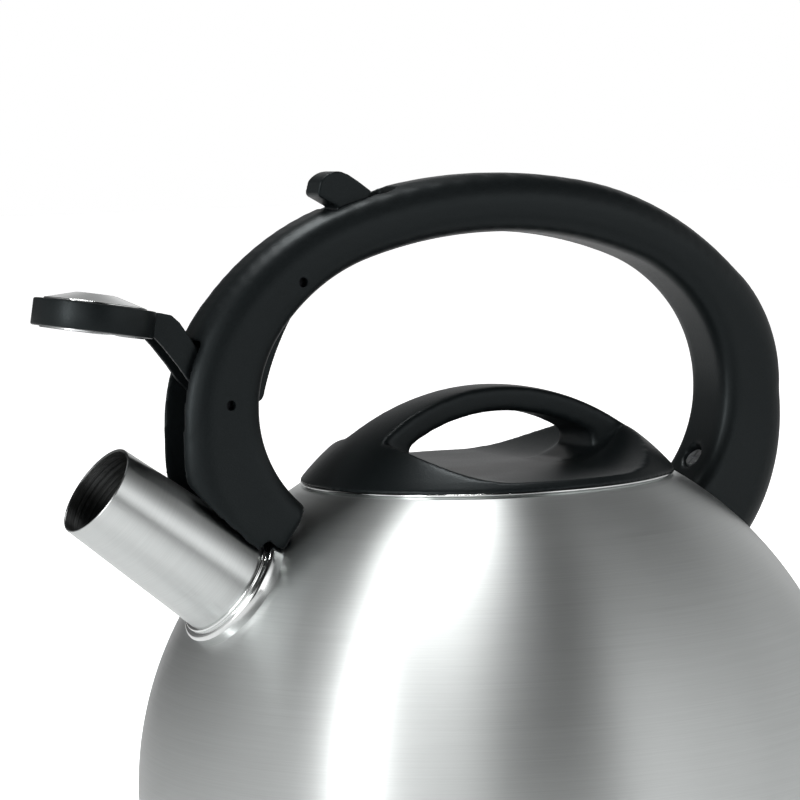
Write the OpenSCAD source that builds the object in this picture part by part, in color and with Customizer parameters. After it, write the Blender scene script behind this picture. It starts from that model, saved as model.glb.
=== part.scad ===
// Stovetop whistling kettle, in millimetres.
// Origin: centre of the base's underside. +Z is up, the spout points to -X, and the handle stands in the
// XZ plane. It is drawn as it pours: thumb lever pushed forward, whistle cap swung up off the spout.

/* [Body] */
// Radius of the round belly
belly_r = 110; // [100:1:120]
// Height of the belly's widest circle
belly_z = 38; // [34:1:42]
// Sheet thickness of the body
wall = 0.8; // [0.6:0.1:1.2]
// Radius of the corner between belly and floor
corner_r = 16; // [12:1:20]
// Height of the floor above the table
floor_z = 5.4; // [4:0.2:6.4]
// Radius of the heat spreading disc
spreader_r = 88; // [80:1:88]
// Height of the mouth's edge
mouth_z = 131.5; // [131:0.1:132]
// Inner radius of the mouth
mouth_r = 52.6; // [50:0.2:53]

/* [Lid] */
// Radius of the black cover at its rim
cover_r = 57.6; // [56:0.2:58]
// Height of the cover above the lid plate
cover_h = 27.3; // [24:0.1:28]
// Half length of the finger hole under the bridge
grip_x = 31.3; // [28:0.1:32]
// Half width of the bridge at its middle
bridge_y = 8.2; // [7:0.1:10]
// Extra half width of the bridge near the rim
bridge_flare = 4.3; // [0:0.1:6]
// Height of the finger scoop's floor above the table
scoop_z = 135.7; // [135.5:0.1:137]

/* [Spout] */
// Angle of the spout above the horizontal
spout_angle = 37.12; // [35:0.1:39]
// Centre of the spout's mouth, forward of the body's axis
mouth_x = 128.65; // [127:0.1:130]
// Height of the centre of the spout's mouth
spout_z = 138.44; // [137:0.1:140]
// Outer radius at the spout's mouth
spout_r1 = 14.3; // [14:0.1:14.5]
// Outer radius at the spout's root
spout_r2 = 16.4; // [16:0.1:16.6]
// Distance from the mouth back to the welded collar
collar_s = 52.1; // [51:0.1:53]

/* [Handle] */
// Height of the top of the handle
handle_top = 225.2; // [222:0.1:228]
// Height of the underside of the grip
grip_under = 207; // [205:0.1:208]
// Half width of the grip
grip_y = 11.7; // [11:0.1:13]
// Extra half width at the feet
foot_flare = 2; // [0:0.1:2.5]
// Half width of the slot that holds the mechanism
slot_y = 6.6; // [6:0.1:7]

/* [Mechanism] */
// Radius of the lever pin and the cap pin
pin_r = 1.25; // [1:0.05:1.4]
// Radius of the drive pin that joins lever and arm
drive_r = 1.2; // [1:0.05:1.3]
// Running clearance round a pin
run_gap = 0.05; // [0.02:0.01:0.08]
// Angle that the cap swings from closed to open
cap_swing = 63; // [55:1:63]
// Half length of the lever pin and the cap pin
pin_end = 9; // [8.5:0.1:10.6]
// Outer radius of the cap's ring
cap_r = 17.8; // [17:0.1:18]
// Thickness of the cap's ring
cap_t = 7.9; // [7:0.1:9]

/* [Hidden] */

$fn = 96;
steel = [0.78, 0.79, 0.80];
bright = [0.88, 0.89, 0.90];
alloy = [0.70, 0.71, 0.72];
black = [0.10, 0.11, 0.12];

lever_p = [-65.3, 195.3];        // lever pivot, x and z
cap_p = [-90.0, 160.84];         // cap arm pivot, x and z
drive_p = [-82.3, 164.0];        // drive pin when the lever is pushed, x and z
crank_vec = drive_p - cap_p;
crank_len = norm(crank_vec);
crank_angle = atan2(crank_vec[1], crank_vec[0]) + cap_swing;
slot_gap = 0.35;                 // side clearance of the drive pin in the arm's slot

lid_z = 132.3;                   // underside of the lid plate
plate_z = lid_z + wall;          // top of the lid plate, where the cover sits
cover_R = (cover_r * cover_r + cover_h * cover_h) / (2 * cover_h);
cover_c = plate_z + cover_h - cover_R;
lid_screw_x = 37;
skirt_r = mouth_r - 0.4;

corner_c = [sqrt(pow(belly_r - corner_r, 2) - pow(belly_z - floor_z - corner_r, 2)), floor_z + corner_r];
corner_a = atan2(corner_c[1] - belly_z, corner_c[0]);

tab_x = 70;                      // where a handle bracket stands on the body
tab_z = belly_z + sqrt(belly_r * belly_r - tab_x * tab_x);
tab_lean = 46;                   // lean of the bracket's tab from the vertical
tab_t = 1.6;
tab_y = 8;
screw_h = 10;                    // height of the handle screw along the tab
screw_r = 2;
seat_d = 2.2;                    // depth of the screw head's seat from the tab
head_t = 1.7;                    // thickness of a screw head

// ---------- helpers ----------

function arc(c, r, a0, a1, n) =
    [for (i = [0:n]) let (a = a0 + (a1 - a0) * i / n) c + r * [cos(a), sin(a)]];

// A plate with the side outline pts (x and z), from y0 to y1
module side_plate(pts, y0, y1) {
    translate([0, y1, 0]) rotate([90, 0, 0]) linear_extrude(y1 - y0) polygon(pts);
}

// A rod along Y at p (x and z), from y0 to y1
module y_rod(p, r, y0, y1) {
    translate([p[0], y1, p[1]]) rotate([90, 0, 0]) cylinder(r = r, h = y1 - y0);
}

// The spout's own frame: origin at its mouth, +Z out along its axis
module on_spout() {
    translate([-mouth_x, 0, spout_z]) rotate([0, spout_angle - 90, 0]) children();
}

// Swings the cap's parts from closed up to open, about the cap pin
module cap_opened() {
    translate([cap_p[0], 0, cap_p[1]]) rotate([0, cap_swing, 0])
        translate([-cap_p[0], 0, -cap_p[1]]) children();
}

module belly_ball(r) {
    translate([0, 0, belly_z]) sphere(r = r, $fn = 180);
}

// ---------- body ----------

// Upper half of the body, from the widest circle to the mouth, with the spout's hole
module body_dome() {
    color(steel) difference() {
        intersection() {
            belly_ball(belly_r);
            translate([0, 0, belly_z]) cylinder(r = belly_r + 5, h = mouth_z - belly_z);
        }
        belly_ball(belly_r - wall);
        on_spout() translate([0, 0, -62]) cylinder(r = spout_r2 + 0.05, h = 40);
    }
}

// Side outline of the lower half, set in by inset, from its middle to its edge
function bowl_side(inset) = concat(
    [[0, floor_z + inset]],
    arc(corner_c, corner_r - inset, -90, corner_a, 8),
    arc([0, belly_z], belly_r - inset, corner_a, 0, 3));

// Lower half of the body, from the floor to the seam at the widest circle
module body_bowl() {
    color(steel) difference() {
        rotate_extrude($fn = 180) polygon(concat(bowl_side(0), [[0, belly_z]]));
        rotate_extrude($fn = 180) polygon(concat(bowl_side(wall), [[belly_r - wall, 200], [0, 200]]));
    }
}

module neck_ring() {
    color(steel) intersection() {
        belly_ball(belly_r - wall);
        rotate_extrude($fn = 180) polygon([
            [mouth_r, mouth_z], [mouth_r, mouth_z - 11], [mouth_r + wall, mouth_z - 11],
            [mouth_r + wall, mouth_z - wall - 1.2], [mouth_r + wall + 1.2, mouth_z - wall],
            [62, mouth_z - wall], [62, mouth_z]]);
    }
}

module heat_spreader() {
    color(alloy) translate([0, 0, wall]) cylinder(r = spreader_r, h = floor_z - wall, $fn = 180);
}

module base_cap() {
    color(steel) rotate_extrude($fn = 180) polygon([
        [0, 0], [spreader_r - 0.4, 0], [spreader_r + wall, 1.2], [spreader_r + wall, floor_z],
        [spreader_r, floor_z], [spreader_r, wall], [0, wall]]);
}

// ---------- spout ----------

module spout_tube() {
    root = collar_s + 4;
    color(steel) on_spout() rotate_extrude() polygon([
        [spout_r1 - wall, -0.2], [spout_r1 - wall * 0.5, 0], [spout_r1, -0.4],
        [spout_r2, -collar_s + 3], [spout_r2, -root], [spout_r2 - wall, -root],
        [spout_r2 - wall, -collar_s + 3]]);
}

module spout_collar() {
    bore = spout_r2 + 0.02;
    color(bright) difference() {
        on_spout() rotate_extrude() polygon(concat(
            [[bore, -collar_s - 4], [bore + 3.1, -collar_s - 4]],
            arc([bore + 1.7, -collar_s + 0.2], 1.4, 0, 90, 5),
            [[bore + 1.2, -collar_s + 2.2]],
            arc([bore + 0.5, -collar_s + 2.2], 0.5, 0, 90, 3),
            [[bore, -collar_s + 2.7]]));
        belly_ball(belly_r);
    }
}

// ---------- lid ----------

module lid_pan() {
    color(steel) difference() {
        rotate_extrude($fn = 180) polygon([
            [0, lid_z], [skirt_r - wall, lid_z], [skirt_r - wall, lid_z - 15], [skirt_r, lid_z - 15],
            [skirt_r, mouth_z + 0.05], [mouth_r + 3, mouth_z + 0.05], [mouth_r + 3.6, lid_z],
            [cover_r - 0.4, lid_z], [cover_r - 0.4, plate_z], [0, plate_z]]);
        for (s = [-1, 1])
            translate([s * lid_screw_x, 0, lid_z - 1]) cylinder(r = 2.1, h = wall + 2);
    }
}

// Side outline of the scoop's floor, flat in the middle and curling up at both ends
function scoop_floor() = concat(
    arc([-18, scoop_z + 30], 30, -150, -90, 8),
    arc([18, scoop_z + 30], 30, -90, -30, 8));

// Half width of the bridge at x, least in the middle and flaring towards the rim
function bridge_half(x) = bridge_y + bridge_flare * pow(x / 42, 2);

module lid_cover() {
    arch_R = 62;
    arch_z = 152.6;
    arch_a = asin(grip_x / arch_R);
    color(black) difference() {
        intersection() {
            translate([0, 0, cover_c]) sphere(r = cover_R, $fn = 180);
            translate([0, 0, plate_z]) cylinder(r1 = cover_r - 0.4, r2 = cover_r + 60, h = 60, $fn = 180);
        }
        difference() {
            side_plate(concat(scoop_floor(), [[44, 175], [-44, 175]]), -62, 62);
            translate([0, 0, 100]) linear_extrude(90) polygon([
                for (s = [-1, 1], i = [-8:8]) [-s * 6 * i, s * bridge_half(6 * i)]]);
        }
        side_plate(concat(
            [[-grip_x, 139.5], [-24, 136.3], [-18, scoop_z], [18, scoop_z], [24, 136.3], [grip_x, 139.5]],
            arc([0, arch_z - arch_R], arch_R, 90 - arch_a, 90 + arch_a, 10)), -14, 14);
        for (s = [-1, 1])
            translate([s * lid_screw_x, 0, plate_z - 1]) cylinder(r = 2, h = 11.5);
    }
}

module lid_screws() {
    color(bright) for (s = [-1, 1]) translate([s * lid_screw_x, 0, lid_z]) {
        translate([0, 0, -0.8]) cylinder(r = 1.95, h = 12);
        difference() {
            translate([0, 0, -3.1]) cylinder(r1 = 3, r2 = 3.6, h = 2.3);
            translate([0, 0, -3.6]) cube([5, 0.9, 2.2], center = true);
            translate([0, 0, -3.6]) cube([0.9, 5, 2.2], center = true);
        }
    }
}

module lid_washers() {
    color(steel) for (s = [-1, 1]) translate([s * lid_screw_x, 0, lid_z - 0.8]) difference() {
        cylinder(r = 4.6, h = 0.8);
        translate([0, 0, -1]) cylinder(r = 2.1, h = 3);
    }
}

// ---------- handle ----------

// Each curve is a chain of arcs [end angle, radius] from the top of the handle down; 90 degrees is
// where the leg is upright, and past it the leg curls in towards the body.
front_outer = [[18.6, 162], [52.9, 86.8], [90, 55.3], [140, 43.6]];
rear_outer = [[12.1, 169.6], [49.8, 103.2], [90, 46.2], [140, 58]];
front_inner = [[16.4, 147], [52.5, 59.4], [90, 36.8], [140, 37.6]];
rear_inner = [[22.3, 133.3], [51.9, 51.1], [90, 41.5], [140, 42.4]];
front_drop = 7.2;                // upright stretch of the front leg's outer side
rear_drop = 10.7;                // upright stretch of the rear leg's outer side

function run_x(c, a, i = 0, s = 0) = i == len(c) || a <= s ? 0
    : c[i][1] * (sin(min(a, c[i][0])) - sin(s)) + run_x(c, a, i + 1, c[i][0]);
function run_z(c, a, i = 0, s = 0) = i == len(c) || a <= s ? 0
    : c[i][1] * (cos(min(a, c[i][0])) - cos(s)) + run_z(c, a, i + 1, c[i][0]);
// Point of a curve where it has turned through a degrees, ext further on in a straight line
function on_curve(c, top, drop, a, ext) =
    [run_x(c, a) + ext * cos(a), top + run_z(c, a) - (a > 90 ? drop : 0) - ext * sin(a)];

stations = [for (a = [4:6:88]) a, 90, 90.01, for (a = [96:6:138]) a, 140];
foot_run = 14;

// One cross section: a rounded box between the inner and outer curve, side s = -1 front or 1 rear
function section(a, s, ext) =
    let (o = on_curve(s > 0 ? rear_outer : front_outer, handle_top, s > 0 ? rear_drop : front_drop, a, ext),
         n = on_curve(s > 0 ? rear_inner : front_inner, grip_under, 0, a, ext),
         c = (o + n) / 2, d = o - n, h = norm(d) / 2, u = d / norm(d),
         b = grip_y + foot_flare * pow(max(0, a - 95) / 45, 1.5),
         ro = 8.8, ri = 5)
    [for (k = [0:3], i = [0:4])
        let (out = k == 0 || k == 3, r = out ? ro : ri, t = 90 * k + 22.5 * i,
             p = (out ? 1 : -1) * (h - r) + r * cos(t),
             y = (k < 2 ? 1 : -1) * (b - r) + r * sin(t),
             q = c + u * p)
        s > 0 ? [q[0], y, q[1]] : [-q[0], y, q[1]]];

module handle_skin() {
    m = len(stations);
    rings = concat(
        [section(stations[m - 1], -1, foot_run)],
        [for (i = [m - 1:-1:0]) section(stations[i], -1, 0)],
        [for (i = [0:m - 1]) section(stations[i], 1, 0)],
        [section(stations[m - 1], 1, foot_run)]);
    n = len(rings[0]);
    last = n * (len(rings) - 1);
    sides = [for (i = [0:len(rings) - 2], j = [0:n - 1])
        let (a = i * n + j, b = i * n + (j + 1) % n) each [[a, b, b + n], [a, b + n, a + n]]];
    polyhedron([for (r = rings) each r],
        concat(sides, [[for (j = [n - 1:-1:0]) j], [for (j = [0:n - 1]) last + j]]));
}

// Room for the lever and the cap arm: the open front channel, the cavity above it, and the gap on
// the leg's inner side that the lever's tail swings out through
mechanism_room = [
    [-120, 179.6], [-95.8, 179.6], [-91.5, 183], [-84, 192], [-76, 199.2], [-67, 205], [-57, 209.6],
    [-45, 214], [-31.5, 217.4], [-31.5, 206.4], [-40, 205], [-50, 201.4], [-57, 197], [-58.5, 186], [-68, 166],
    [-72, 157.5], [-84.6, 157.5], [-87, 151], [-88.5, 144], [-88.8, 138], [-87, 132.2], [-83.7, 128.6],
    [-79.2, 124.4], [-75, 120.4], [-75, 105], [-120, 105]];
fin_room = [
    [-58, 206], [-52.6, 212.2], [-51.2, 217], [-51.2, 235], [-30.5, 235], [-30.5, 212], [-45, 206]];
// The gap that opens between the front foot and the body towards the middle of the lid
foot_gap = [[-77, 115.3], [-67, 129.3], [-55, 129.3], [-55, 105], [-77, 105]];

// The frame of a bracket: origin on the body, local Z up the tab, local X to the leg's outer side
module at_tab(s) {
    mirror([s < 0 ? 1 : 0, 0, 0])
        translate([tab_x, 0, tab_z]) rotate([0, tab_lean, 0]) children();
}

module tab_room(s) {
    at_tab(s) {
        translate([-tab_t / 2 - 0.15, -tab_y - 0.15, -6]) cube([tab_t + 0.3, 2 * tab_y + 0.3, 22.5]);
        translate([0.3, 0, screw_h]) rotate([0, 90, 0]) cylinder(r = 3.7, h = 3.4);
        translate([-20, 0, screw_h]) rotate([0, 90, 0]) cylinder(r = screw_r + 0.1, h = 21);
        translate([-20, 0, screw_h]) rotate([0, 90, 0]) cylinder(r = 3.9, h = 20 - seat_d);
    }
    intersection() {
        belly_ball(belly_r + 1.9);
        at_tab(s) translate([-2.9, -tab_y - 0.2, -12]) cube([5.4, 2 * tab_y + 0.4, 20]);
    }
}

module handle() {
    color(black) difference() {
        handle_skin();
        belly_ball(belly_r + 0.03);
        on_spout() translate([0, 0, -collar_s - 20]) cylinder(r = spout_r2 + 0.35, h = collar_s + 30);
        on_spout() translate([0, 0, -collar_s - 12]) cylinder(r = spout_r2 + 3.6, h = 15.6);
        side_plate(mechanism_room, -slot_y, slot_y);
        side_plate(fin_room, -5.2, 5.2);
        side_plate(foot_gap, -20, 20);
        y_rod(lever_p, pin_r, -30, 30);
        y_rod(cap_p, pin_r, -30, 30);
        for (s = [-1, 1]) tab_room(s);
    }
}

module bracket(s) {
    color(steel) {
        difference() {
            at_tab(s) union() {
                translate([-tab_t / 2, -tab_y, -6]) cube([tab_t, 2 * tab_y, 22]);
                translate([0, 0, screw_h]) rotate([0, 90, 0]) cylinder(r = 3.5, h = 3.4);
            }
            belly_ball(belly_r + 0.8);
            at_tab(s) translate([-5, 0, screw_h]) rotate([0, 90, 0]) cylinder(r = screw_r, h = 12);
        }
        intersection() {
            difference() {
                belly_ball(belly_r + 1.6);
                belly_ball(belly_r);
            }
            at_tab(s) translate([-2.6, -tab_y, -12]) cube([4.8, 2 * tab_y, 20]);
        }
    }
}

module handle_screw(s) {
    color(bright) at_tab(s) translate([0, 0, screw_h]) rotate([0, -90, 0]) {
        translate([0, 0, -3.2]) cylinder(r = screw_r - 0.02, h = seat_d + 3.3);
        difference() {
            translate([0, 0, seat_d]) cylinder(r1 = 3.6, r2 = 3, h = head_t);
            translate([0, 0, seat_d + head_t]) cube([5, 0.9, 2], center = true);
            translate([0, 0, seat_d + head_t]) cube([0.9, 5, 2], center = true);
        }
    }
}

module front_bracket() { bracket(-1); }
module rear_bracket() { bracket(1); }
module front_handle_screw() { handle_screw(-1); }
module rear_handle_screw() { handle_screw(1); }

// ---------- thumb lever ----------

// Side outline of the lever: hooked thumb fin, web down to the pivot, then the curved tail
lever_outline = concat(
    [[-69.6, 196.5], [-63.5, 200.2], [-56.5, 205.5], [-51, 212], [-49.6, 216.6], [-54.6, 219.5]],
    arc([-54.3, 221.1], 1.6, 240, 150, 3),
    arc([-49.2, 219.7], 7.4, 142, 82, 5),
    [[-45.6, 226], [-42.4, 223.9], [-38.2, 220.8], [-39.4, 217], [-46.5, 211.5], [-54.5, 204],
     [-60.2, 196.8], [-61.1, 192]],
    arc([0.9, 142], 80, 145, 164, 5),
    arc([-79.2, 163.6], 3, -10, -90, 4),
    arc(drive_p, 3, -90, -190, 5),
    [[-83.4, 171], [-78.2, 184]]);

module thumb_lever() {
    color(black) difference() {
        union() {
            side_plate(lever_outline, -5.5, 5.5);
            y_rod(lever_p, 4.4, -6.2, 5.5);
        }
        for (s = [-1, 1])
            translate([-70, s > 0 ? 4.5 : -24.5, 207]) cube([60, 20, 40]);
        translate([-110, -3, 120]) cube([60, 6, 58]);
        y_rod(lever_p, 5.4, 3.2, 12);
        y_rod(lever_p, pin_r + run_gap, -30, 30);
        y_rod(drive_p, drive_r, -30, 30);
    }
}

module lever_pin() { color(bright) y_rod(lever_p, pin_r, -pin_end, pin_end); }
module cap_pin() { color(bright) y_rod(cap_p, pin_r, -pin_end, pin_end); }
module drive_pin() { color(bright) y_rod(drive_p, drive_r, -5.4, 5.4); }

// ---------- return spring ----------

wire_r = 0.35;
coil_r = 2.4;
coil_turns = 3;
coil_y = 3.75;
coil_pitch = 0.78;

function coil_point(t) =
    [lever_p[0] + coil_r * cos(180 + 360 * t), coil_y + coil_pitch * t, lever_p[1] + coil_r * sin(180 + 360 * t)];
spring_path = concat(
    [lever_leg_end()],
    [for (i = [0:coil_turns * 14]) coil_point(i / 14)],
    [[coil_point(coil_turns)[0] - 1.2, coil_point(coil_turns)[1] + 0.05, 183]]);
function lever_leg_end() = [lever_p[0] - coil_r - 0.4, coil_y - 0.05, 203];

// A wire swept along a path with an eight sided section
module wire(path, r) {
    n = 8;
    m = len(path);
    function dir(i) = let (a = path[max(0, i - 1)], b = path[min(m - 1, i + 1)]) (b - a) / norm(b - a);
    rings = [for (i = [0:m - 1])
        let (t = dir(i), e = cross(t, [0, 1, 0]), u = e / norm(e), v = cross(t, u))
        for (j = [0:n - 1]) path[i] + r * (cos(360 * j / n) * u + sin(360 * j / n) * v)];
    sides = [for (i = [0:m - 2], j = [0:n - 1])
        let (a = i * n + j, b = i * n + (j + 1) % n) each [[a, b + n, b], [a, a + n, b + n]]];
    polyhedron(rings, concat(sides, [[for (j = [0:n - 1]) j], [for (j = [n - 1:-1:0]) (m - 1) * n + j]]));
}

module return_spring() { color(bright) wire(spring_path, wire_r); }

// ---------- whistle cap, drawn closed on the spout and then swung open ----------

// Side outline of the arm while the cap is closed
arm_outline = [
    [-90, 163.3], [-107.9, 162.3], [-117.4, 161.2], [-120.6, 160.0], [-123.0, 157.2], [-124.6, 154.9],
    [-119.8, 151.3], [-117.1, 152.3], [-113.7, 153.2], [-106.3, 154.6], [-101, 155.2], [-93.5, 157.6],
    [-90, 157.6]];
arm_hollow = [
    [-91, 161.6], [-107.9, 160.7], [-117, 159.6], [-119.4, 158.6], [-120.4, 157], [-116.5, 148],
    [-104, 150], [-92, 154]];

module arm_ring() {
    on_spout() rotate_extrude() polygon([
        [cap_r - 2.6, -1], [cap_r - 0.3, -1], [cap_r, -0.7], [cap_r, cap_t - 1.3], [cap_r - 0.3, cap_t - 1],
        [12.6, cap_t - 1], [12.6, 1.2], [cap_r - 2.6, 1.2]]);
}

// Outline along the crank, from d0 to d1 off the cap pin, with ends of radius r0 and r1
function long_hole(d0, d1, r0, r1) = [
    for (e = [0, 1], i = [0:10])
        let (d = e == 0 ? d0 : d1, r = e == 0 ? r0 : r1, a = crank_angle + (e == 0 ? 90 : -90) + 18 * i)
        cap_p + d * [cos(crank_angle), sin(crank_angle)] + r * [cos(a), sin(a)]];

module cap_arm() {
    slot_r = drive_r + slot_gap;
    color(black) cap_opened() difference() {
        union() {
            difference() {
                side_plate(arm_outline, -5, 5);
                side_plate(arm_hollow, -3.6, 3.6);
                on_spout() translate([0, 0, -8]) cylinder(r = cap_r - 1, h = 30);
            }
            arm_ring();
            y_rod(cap_p, 3.3, -6.3, 6.3);
            side_plate(long_hole(0, crank_len, 4.6, 3.2), -2.5, 2.5);
        }
        y_rod(cap_p, pin_r + run_gap, -30, 30);
        side_plate(long_hole(6.6, crank_len, slot_r, slot_r), -4, 4);
    }
}

module whistle_plate() {
    color(steel) cap_opened() on_spout() rotate_extrude() polygon([
        [2.2, 0.3], [cap_r - 2.95, 0.3], [cap_r - 2.95, -1.4], [cap_r - 2.65, -1.4], [cap_r - 2.65, 1.15],
        [2.2, 1.15]]);
}

module whistle_chamber() {
    color(steel) cap_opened() on_spout() rotate_extrude() polygon([
        [12.55, 1.2], [12.55, 6.2], [2, 6.2], [2, 5.5], [11.8, 5.5], [11.8, 1.2]]);
}

module whistle_cover() {
    z = cap_t - 1;
    color(bright) cap_opened() on_spout() rotate_extrude() polygon([
        [2, z + 3.1], [4.5, z + 3], [7.5, z + 2.5], [14.4, z + 0.6], [14.9, z + 0.5], [14.9, z],
        [14.2, z], [7.3, z + 1.9], [4.4, z + 2.4], [2, z + 2.5]]);
}

body_dome();
body_bowl();
neck_ring();
heat_spreader();
base_cap();
spout_tube();
spout_collar();
lid_pan();
lid_cover();
lid_screws();
lid_washers();
handle();
front_bracket();
rear_bracket();
front_handle_screw();
rear_handle_screw();
thumb_lever();
lever_pin();
drive_pin();
return_spring();
cap_arm();
cap_pin();
whistle_plate();
whistle_chamber();
whistle_cover();
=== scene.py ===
from math import asin, atan2, cos, degrees, pi, radians, sin, sqrt

import bmesh
import bpy
from bpy.props import FloatProperty, FloatVectorProperty, PointerProperty
from mathutils import Matrix, Vector


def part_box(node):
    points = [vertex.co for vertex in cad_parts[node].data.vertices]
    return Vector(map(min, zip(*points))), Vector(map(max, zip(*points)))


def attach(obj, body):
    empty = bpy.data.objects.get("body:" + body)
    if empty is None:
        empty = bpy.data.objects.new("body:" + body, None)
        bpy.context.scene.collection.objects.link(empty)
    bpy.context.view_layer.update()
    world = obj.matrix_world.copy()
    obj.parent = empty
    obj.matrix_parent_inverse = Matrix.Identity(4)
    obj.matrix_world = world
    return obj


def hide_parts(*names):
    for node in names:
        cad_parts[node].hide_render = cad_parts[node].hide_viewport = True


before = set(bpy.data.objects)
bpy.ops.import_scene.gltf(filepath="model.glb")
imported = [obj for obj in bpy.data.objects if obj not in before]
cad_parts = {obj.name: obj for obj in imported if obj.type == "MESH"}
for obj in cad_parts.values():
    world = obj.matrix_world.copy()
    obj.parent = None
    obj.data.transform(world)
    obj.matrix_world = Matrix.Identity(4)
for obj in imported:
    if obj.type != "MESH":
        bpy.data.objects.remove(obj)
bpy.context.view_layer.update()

bl_info = {
    "name": "Stovetop whistling kettle",
    "version": (1, 0, 0),
    "blender": (4, 5, 0),
    "location": "View3D > Sidebar > Kettle",
    "description": "Builds the kettle's visible pieces round its packed frame",
    "category": "Add Mesh",
}

MM = 0.001


def node_box(name):
    """Lowest and highest corner of a CAD node, in millimetres."""
    low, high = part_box(name)
    return Vector(low) / MM, Vector(high) / MM


# ---- sizes

SHELL_LOW, SHELL_HIGH = node_box("body_bowl")[0], node_box("body_dome")[1]
COVER_LOW, COVER_HIGH = node_box("lid_cover")
HANDLE_HIGH = node_box("handle")[1]
BASE_HIGH = node_box("base_cap")[1]


def property_of(kind, **settings):
    """Makes a maker of properties of one kind, given name, description and default."""
    return lambda name, description, default: kind(
        name=name, description=description, default=default, **settings)


a_length = property_of(FloatProperty, unit="LENGTH", subtype="DISTANCE")
a_point = property_of(FloatVectorProperty, unit="LENGTH", subtype="XYZ_LENGTH")
an_angle = property_of(FloatProperty, unit="ROTATION", subtype="ANGLE")
a_share = property_of(FloatProperty, subtype="FACTOR", min=0, max=1)
a_colour = property_of(FloatVectorProperty, subtype="COLOR", min=0, max=1)
a_power = property_of(FloatProperty, unit="POWER")


class KettleBody(bpy.types.PropertyGroup):
    belly_radius: a_length("Belly radius", "Radius of the round belly", SHELL_HIGH.x * MM)
    belly_height: a_length("Belly height", "Height of the belly's widest circle", 0.038)
    wall: a_length("Wall", "Sheet thickness of the body", 0.0008)
    corner_radius: a_length("Corner radius", "Radius between belly and floor", 0.016)
    floor_height: a_length("Floor height", "Height of the floor above the table", SHELL_LOW.z * MM)
    mouth_height: a_length("Mouth height", "Height of the mouth's edge", SHELL_HIGH.z * MM)
    mouth_radius: a_length("Mouth radius", "Inner radius of the mouth", 0.0526)
    base_radius: a_length("Base radius", "Outer radius of the base capsule", BASE_HIGH.x * MM)


class KettleSpout(bpy.types.PropertyGroup):
    angle: an_angle("Angle", "Angle of the spout above the horizontal", radians(37.12))
    mouth: a_point("Mouth", "Centre of the spout's mouth", (-0.12865, 0.0, 0.13844))
    mouth_radius: a_length("Mouth radius", "Outer radius at the mouth", 0.0143)
    root_radius: a_length("Root radius", "Outer radius at the root", 0.0164)
    collar_distance: a_length(
        "Collar distance", "Distance from the mouth back to the collar", 0.0521)


class KettleLid(bpy.types.PropertyGroup):
    cover_radius: a_length("Cover radius", "Radius of the cover at its rim", COVER_HIGH.x * MM)
    cover_height: a_length(
        "Cover height", "Height of the cover above the lid plate",
        (COVER_HIGH.z - COVER_LOW.z) * MM)
    bridge_half_width: a_length(
        "Bridge half width", "Half width of the bridge at its middle", 0.0082)
    bridge_flare: a_length("Bridge flare", "Extra half width of the bridge near the rim", 0.0043)
    grip_half_length: a_length(
        "Finger hole half length", "Half length of the hole under the bridge", 0.0313)
    scoop_height: a_length("Scoop height", "Height of the finger scoops' floor", 0.1357)


class KettleHandle(bpy.types.PropertyGroup):
    top: a_length("Top", "Height of the top of the handle", HANDLE_HIGH.z * MM)
    grip_underside: a_length("Grip underside", "Height of the underside of the grip", 0.207)
    half_width: a_length("Half width", "Half width of the grip", 0.0117)
    foot_flare: a_length("Foot flare", "Extra half width at the feet", 0.002)
    outer_rounding: a_length("Outer rounding", "Radius of the outer edges", 0.0088)
    inner_rounding: a_length("Inner rounding", "Radius of the inner edges", 0.005)


class KettleFinishes(bpy.types.PropertyGroup):
    steel: a_colour("Brushed steel", "Colour of the brushed steel", (0.60, 0.62, 0.615))
    polished: a_colour("Polished steel", "Colour of the polished steel", (0.74, 0.755, 0.75))
    plastic: a_colour("Black plastic", "Colour of the moulded plastic", (0.0046, 0.0060, 0.0065))
    steel_roughness: a_share("Steel roughness", "Mean roughness of the brushed steel", 0.44)
    plastic_roughness: a_share("Plastic roughness", "Mean roughness of the plastic", 0.40)


class KettleStage(bpy.types.PropertyGroup):
    azimuth: an_angle("Azimuth", "Camera's turn from looking along +Y", radians(-27.36))
    elevation: an_angle("Elevation", "Camera's angle above the horizon", radians(4.66))
    roll: an_angle("Roll", "Camera's turn about its own axis", radians(-2.03))
    distance: a_length("Distance", "Distance from the camera to its target", 1.0335)
    target: a_point("Target", "Point at the middle of the picture", (-0.02895, 0.0, 0.15763))
    lens: FloatProperty(
        name="Lens", description="Focal length on a 36 mm sensor, in millimetres",
        default=154.6, unit="CAMERA")
    key_power: a_power("Key light", "Power of the key light in watts", 16.0)
    fill_power: a_power("Fill light", "Power of the fill light in watts", 30.0)


# ---- fixed sizes
# Millimetres and degrees, unless a line says otherwise


def pin_place(name):
    """Middle (x, z) of a packed pin that lies along Y."""
    low, high = node_box(name)
    return ((low + high) / 2).xz


LEVER_P, CAP_P, DRIVE_P = (pin_place(name) for name in ("lever_pin", "cap_pin", "drive_pin"))
CAP_SWING = 63.0               # from closed on the spout to open, as drawn
CAP_R, CAP_T = 17.8, 7.9       # radius and thickness of the cap's ring
THROUGH = (-30, 30)            # ends of a bore that goes right through a moving part
TAPER_RUN = 49.1               # length over which the spout's tube widens

LID_Z = 132.3                  # underside of the lid plate
LID_SCREW_X = 37.0
MELT_HEIGHT = 136.6            # above it the lid cover's edges are rounded further

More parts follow.
